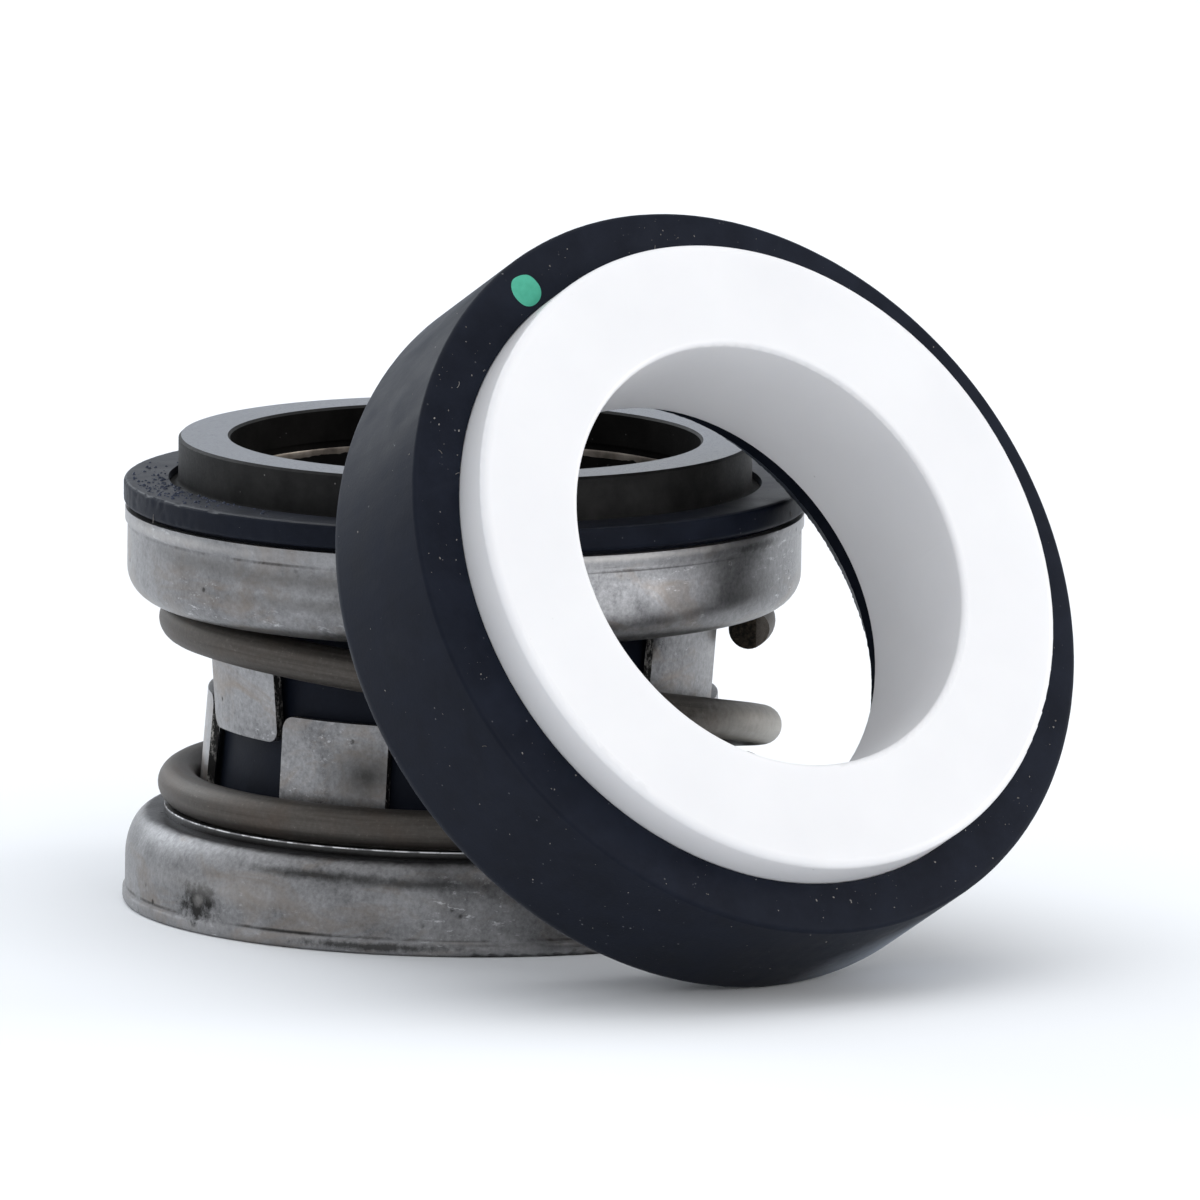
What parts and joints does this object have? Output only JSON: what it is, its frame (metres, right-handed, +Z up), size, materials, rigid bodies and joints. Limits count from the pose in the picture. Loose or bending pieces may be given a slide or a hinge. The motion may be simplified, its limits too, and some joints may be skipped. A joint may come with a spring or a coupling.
{
  "type": "component mechanical seal",
  "caption": "Elastomer bellows shaft seal: a sprung rotary head with a carbon ring, and a ceramic seat in a rubber cup leaning on it.",
  "frame": {"origin": "middle of the rotary head's base, on the shaft axis", "axes": "+Z up the shaft axis from the spring holder to the carbon running face; the seat leans on the head from the -Y, +X side"},
  "size_m": [0.0572, 0.0631, 0.0444],
  "materials": {
    "shell_steel": "pressed stainless steel, satin with handling marks",
    "spring_steel": "dull brownish drawn spring wire",
    "carbon": "resin-bonded carbon graphite, its running face lapped",
    "rubber": "moulded black nitrile rubber with dust and flash",
    "ceramic": "white alumina ceramic, its face lapped"
  },
  "bodies": {
    "base": {"spring_holder": "shell_steel", "drive_band": "shell_steel", "bellows": "rubber", "coil_spring": "spring_steel", "seat_ring": "ceramic", "cup_gasket": "rubber"},
    "head": {"retainer": "shell_steel", "primary_ring": "carbon"}
  },
  "joints": [
    {"name": "spring_travel", "type": "slide", "parent": "base", "child": "head", "axis": [0, 0, -1], "range_m": [0, 0.005], "stiffness_N_per_m": 5700, "deforming": ["coil_spring", "bellows"]}
  ]
}
